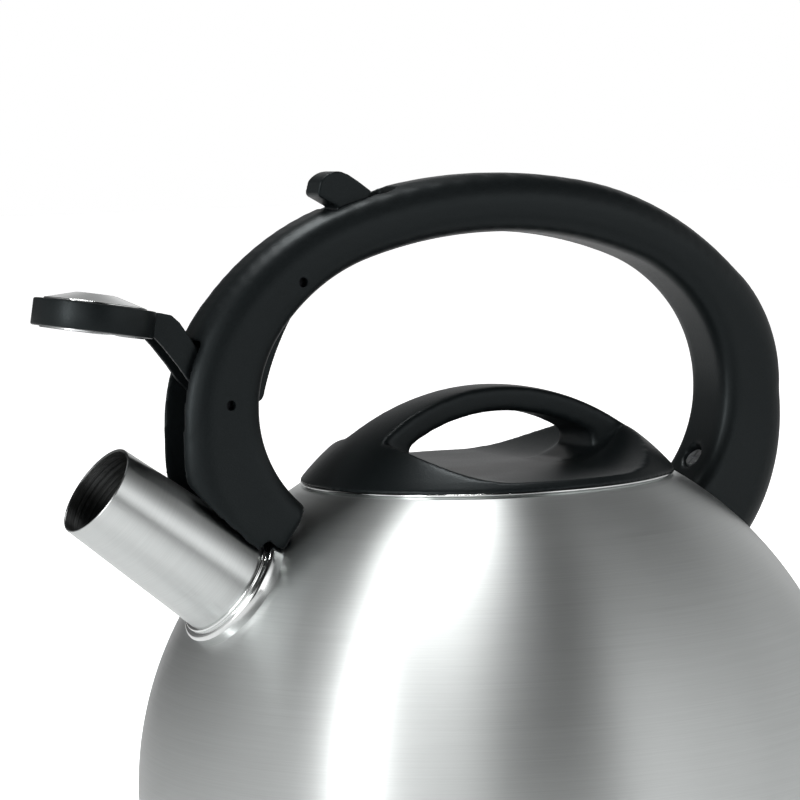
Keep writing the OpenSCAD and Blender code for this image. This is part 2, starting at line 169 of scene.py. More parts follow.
# The handle's side curves as chains of arcs (end angle, radius), from its top down
FRONT_OUTER = ((18.6, 162), (52.9, 86.8), (90, 55.3), (140, 43.6))
REAR_OUTER = ((12.1, 169.6), (49.8, 103.2), (90, 46.2), (140, 58))
FRONT_INNER = ((16.4, 147), (52.5, 59.4), (90, 36.8), (140, 37.6))
REAR_INNER = ((22.3, 133.3), (51.9, 51.1), (90, 41.5), (140, 42.4))
FRONT_DROP, REAR_DROP = 7.2, 10.7      # upright stretch of each leg's outer side
FOOT_ANGLE, FOOT_RUN = 140, 16         # direction and length of each leg's straight end
FLARE_ANGLE = 95                       # from here down the legs grow wider
LONGEST_SIDE = 24                      # an edge along the arch is never longer
FLANK = 11                             # the arch's long edges lie further out than this
PIN_HOLE_R, PIN_HOLE_END = 1.5, 8.8

# Handle screws: place on the belly, lean and height of the bracket that each one goes into
TAB_X, TAB_LEAN, TAB_UP = 70.0, 46, 10.0

# Brushing lines per metre across and along the brush, coarse and fine
COARSE_LINES, FINE_LINES = (2600, 16), (6400, 60)
BALL_RADIUS = 0.11             # metres, turns an angle on the belly into a distance

# Brightness of the room by direction, turn in degrees from +X towards +Y
ROOM_STOPS = (
    (-180, 0.9), (-160, 1.5), (-144, 2.2), (-128, 1.9), (-114, 0.08), (-94, 0.0), (-82, 0.6),
    (-74, 1.9), (-60, 1.7), (-44, 1.3), (-15, 0.85), (25, 0.55), (55, 0.8), (78, 0.5), (88, 0.0),
    (104, 0.15), (130, 0.35), (150, 0.7), (180, 0.9))
ROOM_FADE = (0.22, 0.72)       # heights of a direction between which the room grows dark


# ---- modelling helpers


def deselect():
    if bpy.context.mode != "OBJECT":
        bpy.ops.object.mode_set(mode="OBJECT")
    bpy.ops.object.select_all(action="DESELECT")


def only(obj):
    deselect()
    obj.select_set(True)
    bpy.context.view_layer.objects.active = obj


def edit(obj):
    only(obj)
    bpy.ops.object.mode_set(mode="EDIT")
    bpy.ops.mesh.select_all(action="SELECT")


def leave_edit():
    bpy.ops.object.mode_set(mode="OBJECT")


def settle(obj, matrix=None):
    """Puts the object's place into its mesh, so that the object sits at the origin."""
    if matrix is not None:
        obj.matrix_world = matrix @ obj.matrix_world
    only(obj)
    bpy.ops.object.transform_apply(location=True, rotation=True, scale=True)


def arc(centre, radius, start, end, steps):
    """Points on an arc, angles in degrees."""
    return [
        (centre[0] + radius * cos(radians(start + (end - start) * i / steps)),
         centre[1] + radius * sin(radians(start + (end - start) * i / steps)))
        for i in range(steps + 1)]


def drawn_line(name, points):
    """A chain of edges through points (x, z) in millimetres, drawn by extruding one vertex."""
    deselect()
    first = Vector((points[0][0], 0, points[0][1])) * MM
    bpy.ops.mesh.primitive_plane_add(size=MM, location=first)
    obj = bpy.context.object
    obj.name = obj.data.name = name
    edit(obj)
    bpy.ops.mesh.merge(type="CENTER")
    here = first
    for x, z in points[1:]:
        there = Vector((x, 0, z)) * MM
        bpy.ops.mesh.extrude_vertices_move(TRANSFORM_OT_translate={"value": there - here})
        here = there
    leave_edit()
    settle(obj)
    return obj


def turned(name, outline, steps=160):
    """A closed outline (radius, height) spun round the Z axis into a solid."""
    obj = drawn_line(name, list(outline) + [outline[0]])
    edit(obj)
    bpy.ops.mesh.spin(steps=steps, angle=2 * pi, center=(0, 0, 0), axis=(0, 0, 1))
    bpy.ops.mesh.select_all(action="SELECT")
    bpy.ops.mesh.remove_doubles(threshold=1e-6)
    bpy.ops.mesh.dissolve_degenerate(threshold=1e-6)
    bpy.ops.mesh.select_all(action="SELECT")
    bpy.ops.mesh.normals_make_consistent(inside=False)
    leave_edit()
    return obj


def plate(name, outline, low, high):
    """A closed outline (x, z) raised into a plate from y = low to y = high, in millimetres."""
    obj = drawn_line(name, outline)
    edit(obj)
    bpy.ops.mesh.edge_face_add()
    bpy.ops.mesh.extrude_region_move(TRANSFORM_OT_translate={"value": (0, (high - low) * MM, 0)})
    bpy.ops.mesh.select_all(action="SELECT")
    bpy.ops.transform.translate(value=(0, low * MM, 0))
    bpy.ops.mesh.normals_make_consistent(inside=False)
    leave_edit()
    return obj


def rod(name, place, radius, low, high, sides=48, axis="Y"):
    """A round cutter or pin along Y (or Z), ends at low and high, in millimetres."""
    deselect()
    (first, second), middle = place, (low + high) / 2
    centre, lean = ((first, middle, second), pi / 2) if axis == "Y" else ((*place, middle), 0)
    bpy.ops.mesh.primitive_cylinder_add(
        vertices=sides, radius=radius * MM, depth=(high - low) * MM,
        location=Vector(centre) * MM, rotation=(lean, 0, 0))
    obj = bpy.context.object
    obj.name = obj.data.name = name
    settle(obj)
    return obj


def apply_modifier(obj, kind, **settings):
    only(obj)
    bpy.ops.object.modifier_add(type=kind)
    modifier = obj.modifiers[-1]
    for key, value in settings.items():
        setattr(modifier, key, value)
    bpy.ops.object.modifier_apply(modifier=modifier.name)


def combine(obj, other, operation):
    apply_modifier(obj, "BOOLEAN", object=other, operation=operation, solver="MANIFOLD")
    bpy.data.objects.remove(other, do_unlink=True)


def cut(obj, *cutters):
    for cutter in cutters:
        combine(obj, cutter, "DIFFERENCE")


def soften(obj, grain, passes):
    """Rounds every edge the way a mould does: an even net of the given size, then smoothed."""
    apply_modifier(obj, "REMESH", mode="VOXEL", voxel_size=grain * MM, use_smooth_shade=True)
    apply_modifier(obj, "SMOOTH", factor=0.5, iterations=passes)


def shade(obj, angle=30):
    only(obj)
    bpy.ops.object.shade_smooth_by_angle(angle=radians(angle))


def ball(radius, rings=96):
    """The belly's ball, used as a cutter."""
    deselect()
    height = bpy.context.scene.kettle_body.belly_height
    bpy.ops.mesh.primitive_uv_sphere_add(
        segments=2 * rings, ring_count=rings, radius=radius * MM, location=(0, 0, height))
    obj = bpy.context.object
    obj.name = "belly_ball"
    settle(obj)
    return obj


def finish_piece(obj, name, body, slot, material, *nodes):
    """Names the piece, gives it its finish, sets what it rides on and hides the CAD nodes that it
    stands for.
    """
    obj.name = obj.data.name = name
    obj.data.materials.clear()
    obj.data.materials.append(finish(material))
    only(obj)
    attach(obj, body)
    if nodes:
        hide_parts(*nodes)
    deselect()


def spout_matrix():
    """The spout's own frame: origin at its mouth, +Z out along its axis."""
    spout = bpy.context.scene.kettle_spout
    return Matrix.Translation(spout.mouth) @ Matrix.Rotation(spout.angle - pi / 2, 4, "Y")


def opened_matrix():
    """Turns what is drawn closed on the spout up to the open cap, about the cap pin."""
    pivot = Matrix.Translation((CAP_P.x * MM, 0, CAP_P.y * MM))
    return pivot @ Matrix.Rotation(radians(CAP_SWING), 4, "Y") @ pivot.inverted()


# ---- materials


class Nodes:
    """Adds and links the nodes of one new material, or of a new world."""

    def __init__(self, name, world=False):
        self.owner = (bpy.data.worlds if world else bpy.data.materials).new(name)
        self.owner.use_nodes = True
        self.tree = self.owner.node_tree
        kind = "BACKGROUND" if world else "BSDF_PRINCIPLED"
        self.shader = next(n for n in self.tree.nodes if n.type == kind)

    def add(self, kind, **settings):
        node = self.tree.nodes.new(kind)
        for key, value in settings.items():
            setattr(node, key, value)
        return node

    def link(self, source, target):
        self.tree.links.new(source, target)

    def place(self, origin=(0, 0, 0), turn=(0, 0, 0)):
        """Object coordinates in metres from origin, turned back by turn."""
        coords = self.add("ShaderNodeTexCoord")
        mapping = self.add("ShaderNodeMapping", vector_type="TEXTURE")
        mapping.inputs["Location"].default_value = origin
        mapping.inputs["Rotation"].default_value = turn
        self.link(coords.outputs["Object"], mapping.inputs["Vector"])
        return mapping.outputs["Vector"]

    def maths(self, operation, first, second=None):
        node = self.add("ShaderNodeMath", operation=operation)
        for socket, value in zip(node.inputs, (first, second)):
            if value is None:
                continue
            if isinstance(value, (int, float)):
                socket.default_value = value
            else:
                self.link(value, socket)
        return node.outputs[0]

    def noise(self, vector, scale, detail=2.0, roughness=0.5):
        node = self.add("ShaderNodeTexNoise")
        node.inputs["Scale"].default_value = scale
        node.inputs["Detail"].default_value = detail
        node.inputs["Roughness"].default_value = roughness
        self.link(vector, node.inputs["Vector"])
        return node.outputs["Fac"]

    def spread(self, value, low, high, start=0.3, end=0.7, ease="LINEAR"):
        """value from start..end mapped to low..high."""
        node = self.add("ShaderNodeMapRange", interpolation_type=ease)
        for name, number in (("From Min", start), ("From Max", end),
                             ("To Min", low), ("To Max", high)):
            node.inputs[name].default_value = number
        self.link(value, node.inputs["Value"])
        return node.outputs["Result"]

    def mix(self, factor, first, second):
        """first to second by factor, each one a colour or another node's output."""
        node = self.add("ShaderNodeMix", data_type="RGBA")
        self.link(factor, node.inputs["Factor"])
        for name, value in (("A", first), ("B", second)):
            if isinstance(value, tuple):
                node.inputs[name].default_value = (*value, 1)
            else:
                self.link(value, node.inputs[name])
        return node.outputs["Result"]

    def bump(self, height, strength, distance):
        node = self.add("ShaderNodeBump")
        node.inputs["Strength"].default_value = strength
        node.inputs["Distance"].default_value = distance
        self.link(height, node.inputs["Height"])
        return node.outputs["Normal"]

    def stretch(self, vector, scale):
        node = self.add("ShaderNodeMapping")
        node.inputs["Scale"].default_value = scale
        self.link(vector, node.inputs["Vector"])
        return node.outputs["Vector"]

    def surface(self, colour, roughness, normal, metallic):
        """Gives the shader its colour, roughness and normal from other nodes' outputs."""
        for name, value in (("Base Color", colour), ("Roughness", roughness), ("Normal", normal)):
            self.link(value, self.shader.inputs[name])
        self.shader.inputs["Metallic"].default_value = metallic
        return self.owner

    def join(self, x, y, z):
        node = self.add("ShaderNodeCombineXYZ")
        for socket, value in zip(node.inputs, (x, y, z)):
            self.link(value, socket)
        return node.outputs["Vector"]

    def split(self, vector):
        node = self.add("ShaderNodeSeparateXYZ")
        self.link(vector, node.inputs["Vector"])
        return node.outputs["X"], node.outputs["Y"], node.outputs["Z"]


def shaded(colour, factor):
    return tuple(c * factor for c in colour)


def lathe_brushed(name, colour, roughness, anisotropic, origin=(0, 0, 0), turn=(0, 0, 0),
                  ball_like=False, depth=1.0, across_way=None, bore=None):
    """Steel brushed in fine lines round an axis, on a ball along its circles of latitude. A
    highlight is drawn out across the lines: along across_way, or else up and down the ball. Nearer
    to the axis than bore (radius at the origin, growth per metre down the axis) the colour is
    painted dark: painted shade inside the tube."""
    n = Nodes(name)
    x, y, z = n.split(n.place(origin, turn))
    radius = n.maths("SQRT", n.maths("ADD", n.maths("MULTIPLY", x, x), n.maths("MULTIPLY", y, y)))
    across = n.maths("MULTIPLY", n.maths("ARCTAN2", radius, z), BALL_RADIUS) if ball_like else z

    def brushing(per_metre, detail):
        wide, long = per_metre
        return n.noise(n.join(n.maths("MULTIPLY", across, wide), n.maths("MULTIPLY", x, long),
                              n.maths("MULTIPLY", y, long)), 1.0, detail, 0.6)

    def between(dark, light):
        return n.mix(n.spread(lines, 0, 1, 0.32, 0.68), shaded(colour, dark), shaded(colour, light))

    cloud = n.noise(n.place(), 26.0, 3.0, 0.55)
    lines = n.maths("ADD", n.maths("MULTIPLY", brushing(COARSE_LINES, 3.0), 0.6),
                    n.maths("MULTIPLY", brushing(FINE_LINES, 2.0), 0.4))
    tone = between(0.94, 1.05)
    # Painted shade: nearer to the axis than bore the colour becomes a dark copy, which stands in
    # for the shade inside the tube
    if bore is not None:
        edge = n.maths("SUBTRACT", bore[0], n.maths("MULTIPLY", z, bore[1]))
        tone = n.mix(n.maths("LESS_THAN", radius, edge), tone, between(0.10, 0.34))
    rough = n.maths("ADD", n.spread(lines, roughness - 0.03, roughness + 0.04),
                    n.spread(cloud, -0.015, 0.02))
    n.shader.inputs["Anisotropic"].default_value = anisotropic
    if across_way is None:
        n.shader.inputs["Anisotropic Rotation"].default_value = 0.25
    else:
        way = n.add("ShaderNodeCombineXYZ")
        for socket, value in zip(way.inputs, across_way):
            socket.default_value = value
        n.link(way.outputs["Vector"], n.shader.inputs["Tangent"])
    return n.surface(tone, rough, n.bump(lines, 0.12 * depth, 0.00003), 1)


def polished(name, colour, roughness):
    """Polished steel with faint wiping marks."""
    n = Nodes(name)
    where = n.place()
    cloud = n.noise(where, 60.0, 4.0, 0.6)
    lines = n.noise(n.stretch(where, (300, 300, 2600)), 1.0, 2.0, 0.5)
    rough = n.maths("ADD", n.spread(cloud, roughness - 0.02, roughness + 0.03),
                    n.spread(lines, -0.01, 0.02))
    tone = n.mix(n.spread(cloud, 0, 1), shaded(colour, 0.96), shaded(colour, 1.03))
    return n.surface(tone, rough, n.bump(lines, 0.06, 0.00002), 1)


def rolled(name, colour, roughness, turn):
    """Plain sheet or wire with the long marks of its rolling or drawing."""
    n = Nodes(name)
    where = n.place(turn=turn)
    marks = n.noise(n.stretch(where, (120, 2400, 2400)), 1.0, 3.0, 0.6)
    cloud = n.noise(where, 90.0, 3.0, 0.5)
    mean = n.maths("MULTIPLY", n.maths("ADD", marks, cloud), 0.5)
    tone = n.mix(n.spread(mean, 0, 1), shaded(colour, 0.88), shaded(colour, 1.08))
    rough = n.spread(marks, roughness - 0.06, roughness + 0.08)
    return n.surface(tone, rough, n.bump(marks, 0.15, 0.00003), 1)


def plated(name, colour, roughness):
    """Zinc plate: fine crystals and a soft blotch."""
    n = Nodes(name)
    where = n.place()
    grains = n.add("ShaderNodeTexVoronoi")
    grains.inputs["Scale"].default_value = 2600
    n.link(where, grains.inputs["Vector"])
    blotch = n.noise(where, 240.0, 3.0, 0.6)
    tone = n.mix(n.spread(blotch, 0, 1), shaded(colour, 0.85), shaded(colour, 1.08))
    rough = n.spread(grains.outputs["Distance"], roughness - 0.04, roughness + 0.08, 0, 0.8)
    return n.surface(tone, rough, n.bump(grains.outputs["Distance"], 0.12, 0.00002), 1)


def grained_plastic(name, colour, roughness):
    """Moulded plastic with a spark-eroded grain and a little handling polish."""
    n = Nodes(name)
    where = n.place()
    pits = n.noise(where, 2300.0, 2.0, 0.55)
    cells = n.add("ShaderNodeTexVoronoi", feature="SMOOTH_F1")
    cells.inputs["Scale"].default_value = 1700
    n.link(where, cells.inputs["Vector"])
    wear = n.noise(where, 34.0, 3.0, 0.5)
    height = n.maths("ADD", pits, n.maths("MULTIPLY", cells.outputs["Distance"], 0.6))
    tone = n.mix(n.spread(pits, 0, 1), shaded(colour, 0.80), shaded(colour, 1.25))
    rough = n.maths("ADD", n.spread(pits, roughness - 0.04, roughness + 0.05),
                    n.spread(wear, -0.03, 0.03))
    n.shader.inputs["Specular IOR Level"].default_value = 0.2
    n.shader.inputs["Specular Tint"].default_value = (0.86, 0.97, 1.0, 1)
    return n.surface(tone, rough, n.bump(height, 0.35, 0.00007), 0)


def make_body_steel():
    scene = bpy.context.scene
    finishes = scene.kettle_finishes
    return lathe_brushed("body_steel_brushed", finishes.steel, finishes.steel_roughness, 0.9,
                         (0, 0, scene.kettle_body.belly_height), ball_like=True)


def make_spout_steel():
    scene = bpy.context.scene
    finishes, spout = scene.kettle_finishes, scene.kettle_spout
    growth = (spout.root_radius - spout.mouth_radius) / (TAPER_RUN * MM)
    return lathe_brushed(
        "spout_steel_brushed", finishes.steel, finishes.steel_roughness - 0.12, 0.85, spout.mouth,
        (0, spout.angle - pi / 2, 0), depth=1.3,
        across_way=(-cos(spout.angle), 0, sin(spout.angle)),
        # bore paints the tube's inside dark: painted shade inside the spout
        bore=(spout.mouth_radius - scene.kettle_body.wall / 2, growth))


def make_base_steel():
    return lathe_brushed(
        "base_steel_turned", bpy.context.scene.kettle_finishes.steel, 0.30, 0.3)


MAKERS = {
    "body_steel": make_body_steel,
    "spout_steel": make_spout_steel,
    "base_steel": make_base_steel,
    "polished_steel": lambda: polished(
        "steel_polished", bpy.context.scene.kettle_finishes.polished, 0.10),
    "sheet_steel": lambda: rolled("steel_sheet_rolled", (0.56, 0.57, 0.575), 0.30, (0, 0.6, 0)),
    "aluminium": lambda: rolled("aluminium_rolled", (0.74, 0.745, 0.75), 0.34, (0, 0, 0.3)),
    "spring_steel": lambda: rolled("spring_wire_drawn", (0.40, 0.41, 0.43), 0.28, (0, 0, pi / 2)),
    "plated_steel": lambda: plated("zinc_plate", (0.52, 0.53, 0.54), 0.30),
    "blackened_steel": lambda: plated("steel_blackened", (0.020, 0.021, 0.023), 0.42),
    "black_plastic": lambda: grained_plastic(
        "plastic_black_grained", bpy.context.scene.kettle_finishes.plastic,
        bpy.context.scene.kettle_finishes.plastic_roughness),
}
MADE = {}


def finish(name):
    """The finish of that name, made the first time that it is asked for."""
    if name not in MADE:
        MADE[name] = MAKERS[name]()
    return MADE[name]


# ---- pieces


class KETTLE_OT_stage(bpy.types.Operator):
    """Makes the pale floor, the soft studio light and the camera"""
    bl_idname = "kettle.stage"
    bl_label = "Stage"

    def execute(self, context):
        stage = context.scene.kettle_stage
        self.floor()
        self.light(context, stage)
        self.camera(context, stage)
        return {"FINISHED"}

    def floor(self):
        deselect()
        bpy.ops.mesh.primitive_circle_add(vertices=96, radius=9, fill_type="NGON")
        obj = bpy.context.object
        edit(obj)
        for _ in range(3):
            bpy.ops.mesh.inset(thickness=2.2)
        leave_edit()
        obj.name = obj.data.name = "stage_floor"
        settle(obj)
        n = Nodes("floor_white_matt")
        where = n.place()
        cloud = n.noise(where, 3.0, 3.0, 0.5)
        n.link(n.mix(n.spread(cloud, 0, 1), (0.90, 0.90, 0.90), (0.93, 0.93, 0.93)),
               n.shader.inputs["Base Color"])
        n.link(n.bump(n.noise(where, 900.0, 2.0, 0.5), 0.05, 0.0001), n.shader.inputs["Normal"])
        n.shader.inputs["Roughness"].default_value = 0.8
        n.shader.inputs["Emission Color"].default_value = (1, 1, 1, 1)
        rays = n.add("ShaderNodeLightPath")
        n.link(n.maths("MULTIPLY", rays.outputs["Is Camera Ray"], 0.9),
               n.shader.inputs["Emission Strength"])
        obj.data.materials.append(n.owner)

    def light(self, context, stage):
        n = Nodes("soft_studio", world=True)
        context.scene.world = n.owner
        x, y, z = n.split(n.add("ShaderNodeTexCoord").outputs["Generated"])
        around = n.add("ShaderNodeValToRGB")
        n.link(n.spread(n.maths("ARCTAN2", y, x), 0, 1, -pi, pi), around.inputs["Fac"])
        ramp = around.color_ramp
        ramp.interpolation = "EASE"
        while len(ramp.elements) < len(ROOM_STOPS):
            ramp.elements.new(0.5)
        for element, (turn, level) in zip(ramp.elements, ROOM_STOPS):
            element.position = (turn + 180) / 360
            element.color = (level, level, level, 1)
        lit = n.add("ShaderNodeVectorMath", operation="SCALE")
        n.link(around.outputs["Color"], lit.inputs[0])
        n.link(n.spread(z, 1.0, 0.02, *ROOM_FADE, "SMOOTHSTEP"), lit.inputs["Scale"])
        rays = n.add("ShaderNodeLightPath")
        n.link(n.mix(rays.outputs["Is Camera Ray"], lit.outputs[0], (1, 1, 1)),
               n.shader.inputs["Color"])
        n.shader.inputs["Strength"].default_value = 1.0
        for name, place, size, power in (
                ("key_softbox", (-1.75, -0.50, 0.72), (0.30, 1.2), stage.key_power),
                ("top_softbox", (-0.12, 0.42, 2.0), (0.65, 0.8), stage.fill_power)):
            deselect()
            bpy.ops.object.light_add(type="AREA", location=place)
            lamp = bpy.context.object
            lamp.name = lamp.data.name = name
            lamp.data.shape = "RECTANGLE"
            lamp.data.size, lamp.data.size_y = size
            lamp.data.energy = power
            aim = Vector((0, 0, 0.13)) - Vector(place)
            lamp.rotation_euler = aim.to_track_quat("-Z", "Y").to_euler()

    def camera(self, context, stage):
        az, el, roll = stage.azimuth, stage.elevation, stage.roll
        back = Vector((sin(az) * cos(el), -cos(az) * cos(el), sin(el)))
        right = Vector((cos(az), sin(az), 0))
        up = back.cross(right)
        across = right * cos(roll) + up * sin(roll)
        upright = up * cos(roll) - right * sin(roll)
        place = Vector(stage.target) + back * stage.distance
        deselect()
        bpy.ops.object.camera_add(location=place)
        camera = bpy.context.object
        camera.name = camera.data.name = "camera_front"
        camera.matrix_world = Matrix((
            (across.x, upright.x, back.x, place.x),
            (across.y, upright.y, back.y, place.y),
            (across.z, upright.z, back.z, place.z),
            (0, 0, 0, 1)))
        camera.data.sensor_width = 36
        camera.data.lens = stage.lens
        context.scene.camera = camera
        context.scene.view_settings.view_transform = "Standard"


class KETTLE_OT_body(bpy.types.Operator):
    """Spins the belly's sheet, inside and out, and cuts the spout's hole in it"""
    bl_idname = "kettle.body"
    bl_label = "Body"

    def execute(self, context):
        size = context.scene.kettle_body
        radius, height, wall = size.belly_radius / MM, size.belly_height / MM, size.wall / MM
        corner, floor, top = size.corner_radius / MM, size.floor_height / MM, size.mouth_height / MM
        corner_x = sqrt((radius - corner) ** 2 - (height - floor - corner) ** 2)
        corner_z = floor + corner
        start = degrees(atan2(corner_z - height, corner_x))

        def skin(inset, rings):
            end = degrees(asin((top - height) / (radius - inset)))
            return ([(0, floor + inset), (corner_x / 2, floor + inset)]
                    + arc((corner_x, corner_z), corner - inset, -90, start, 12)
                    + arc((0, height), radius - inset, start, end, rings)[1:])

        obj = turned("body", skin(0, 80) + skin(wall, 56)[::-1], 192)
        root = context.scene.kettle_spout.root_radius / MM
        hole = rod("hole", (0, 0), root + 0.05, -62, -22, 96, "Z")
        settle(hole, spout_matrix())
        cut(obj, hole)
        shade(obj, 35)
        finish_piece(obj, "body", "kettle", "brushed_steel", "body_steel",
                     "body_dome", "body_bowl")
        return {"FINISHED"}


class KETTLE_OT_base(bpy.types.Operator):
    """Spins the base capsule with its rounded edge and pressed rings"""
    bl_idname = "kettle.base"
    bl_label = "Base"

    def execute(self, context):
        size = context.scene.kettle_body
        radius, wall, floor = size.base_radius / MM, size.wall / MM, size.floor_height / MM
        under = [(0, 0)]
        for ring in (24, 44, 64):
            under += [(ring - 1.6, 0), (ring - 1, 0.35), (ring + 1, 0.35), (ring + 1.6, 0)]
        outline = (under + arc((radius - 1.6, 1.6), 1.6, -90, 0, 8)
                   + [(radius, floor - 0.25), (radius - 0.25, floor), (radius - wall, floor),
                      (radius - wall, wall), (0, wall)])
        obj = turned("base", outline, 180)
        shade(obj, 30)
        finish_piece(obj, "base", "kettle", "brushed_steel", "base_steel", "base_cap")
        return {"FINISHED"}


class KETTLE_OT_spout(bpy.types.Operator):
    """Spins the spout's tube and the welded collar at its root"""
    bl_idname = "kettle.spout"
    bl_label = "Spout"

    def execute(self, context):
        size = context.scene.kettle_spout
        wall = context.scene.kettle_body.wall / MM
        mouth, root = size.mouth_radius / MM, size.root_radius / MM
        collar = size.collar_distance / MM
        lip = wall / 2
        taper_end = -collar + 3
        rings = []
        steps = 96
        for i in range(steps + 1):
            z = -lip - i * 0.45
            share = min(1.0, z / taper_end)
            groove = 0.05 * sin(2 * pi * (z + lip) / 1.8) * min(1.0, i / 6)
            rings.append((mouth - wall + (root - mouth) * share + groove, z))
        rings.reverse()
        outline = ([(root - wall, -collar - 4), (root, -collar - 4), (root, taper_end)]
                   + arc((mouth - lip, -lip), lip, 0, 180, 8) + rings[:-1][::-1]
                   + [(root - wall, taper_end)])
        tube = turned("spout", outline, 144)
        settle(tube, spout_matrix())
        shade(tube, 35)
        finish_piece(tube, "spout", "kettle", "brushed_steel", "spout_steel", "spout_tube")

        bore = root + 0.02
        outline = ([(bore, -collar - 5), (bore + 3.1, -collar - 5)]
                   + arc((bore + 1.7, -collar + 0.2), 1.4, 0, 90, 8)
                   + [(bore + 1.15, -collar + 1.65)]
                   + arc((bore + 0.55, -collar + 2.2), 0.55, -20, 90, 8)
                   + [(bore, -collar + 2.75)])
        ring = turned("spout_collar_ring", outline, 144)
        settle(ring, spout_matrix())
        cut(ring, ball(context.scene.kettle_body.belly_radius / MM - 0.12))
        shade(ring, 30)
        finish_piece(ring, "spout_root_collar", "kettle", "polished_steel", "polished_steel",
                     "spout_collar")
        return {"FINISHED"}


class KETTLE_OT_lid(bpy.types.Operator):
    """Makes the lid's steel plate and the black cover with its bridge and finger scoops"""
    bl_idname = "kettle.lid"
    bl_label = "Lid"

    def execute(self, context):
        self.plate(context)
        self.cover(context)
        return {"FINISHED"}

    def plate(self, context):
        size = context.scene.kettle_body
        wall, mouth, top = size.wall / MM, size.mouth_radius / MM, size.mouth_height / MM
        skirt = mouth - 0.4
        under = LID_Z
        rim = context.scene.kettle_lid.cover_radius / MM - 0.4
        bead = wall / 2
        outline = ([(0, under), (skirt - wall, under), (skirt - wall, under - 14.8),
                    (skirt - wall + 0.2, under - 15), (skirt - 0.2, under - 15),
                    (skirt, under - 14.8), (skirt, top + 0.05), (mouth + 3, top + 0.05),
                    (mouth + 3.6, under)]
                   + arc((rim - bead, under + bead), bead, -90, 90, 8) + [(0, under + wall)])
        obj = turned("lid_plate", outline, 180)
        for side in (-1, 1):
            cut(obj, rod("hole", (side * LID_SCREW_X, 0), 2.1, under - 1, under + 2, 32, "Z"))
        shade(obj, 30)
        finish_piece(obj, "lid_plate", "lid", "polished_steel", "polished_steel", "lid_pan")

    def cover(self, context):
        size = context.scene.kettle_lid
        rim, rise = size.cover_radius / MM, size.cover_height / MM
        seat = COVER_LOW.z
        radius = (rim * rim + rise * rise) / (2 * rise)
        centre = seat + rise - radius
        low = degrees(asin((seat + 0.45 - centre) / radius))
        outline = [(0, seat), (rim - 0.45, seat)] + arc((0, centre), radius, low, 90, 90)
        obj = turned("lid_cover", outline, 200)
        bridge = size.bridge_half_width / MM
        floor = size.scoop_height / MM
        scoop = (arc((-18, floor + 30), 30, -150, -90, 24) + arc((18, floor + 30), 30, -90, -30, 24)
                 + [(44, 175), (-44, 175)])
        hole = size.grip_half_length / MM
        arch, arch_top = 62, 152.6
        half = degrees(asin(hole / arch))
        window = ([(-hole, floor + 3.8), (-24, floor + 0.6), (-18, floor), (18, floor),
                   (24, floor + 0.6), (hole, floor + 3.8)]
                  + arc((0, arch_top - arch), arch, 90 - half, 90 + half, 24))
        flare = size.bridge_flare / MM
        plan = [(-side * 6 * i, side * (bridge + flare * (6 * i / 42) ** 2))
                for side in (-1, 1) for i in range(-8, 9)]
        keep = plate("bridge_plan", plan, -190, -100)
        settle(keep, Matrix.Rotation(-pi / 2, 4, "X"))
        scoops = plate("scoops", scoop, -62, 62)
        cut(scoops, keep)
        cut(obj, scoops, plate("window", window, -14, 14))
        soften(obj, 0.6, 5)
        self.melt(obj, MELT_HEIGHT, 16)
        for side in (-1, 1):
            cut(obj, rod("hole", (side * LID_SCREW_X, 0), 2.0, seat - 2, seat + 10, 32, "Z"))
        shade(obj, 50)
        finish_piece(obj, "lid_cover_moulding", "lid", "black_plastic", "black_plastic",
                     "lid_cover")

    def melt(self, obj, above, passes):
        """Rounds the edges above a height in millimetres again, so that the rim keeps its size."""
        edit(obj)
        bpy.ops.mesh.select_all(action="DESELECT")
        mesh = bmesh.from_edit_mesh(obj.data)
        for vertex in mesh.verts:
            vertex.select_set(vertex.co.z > above * MM)
        mesh.select_flush_mode()
        bmesh.update_edit_mesh(obj.data)
        bpy.ops.mesh.vertices_smooth(factor=0.5, repeat=passes)
        leave_edit()


def along(chain, top, drop, angle, run):
    """Point (x, z) where a chain of arcs has turned through angle, and run further on."""
    x, z, start = 0.0, top, 0.0
    for end, radius in chain:
        if angle <= start:
            break
        stop = min(angle, end)
        x += radius * (sin(radians(stop)) - sin(radians(start)))
        z += radius * (cos(radians(stop)) - cos(radians(start)))
        start = end
    if angle > 90:
        z -= drop
    return Vector((x + run * cos(radians(angle)), z - run * sin(radians(angle))))


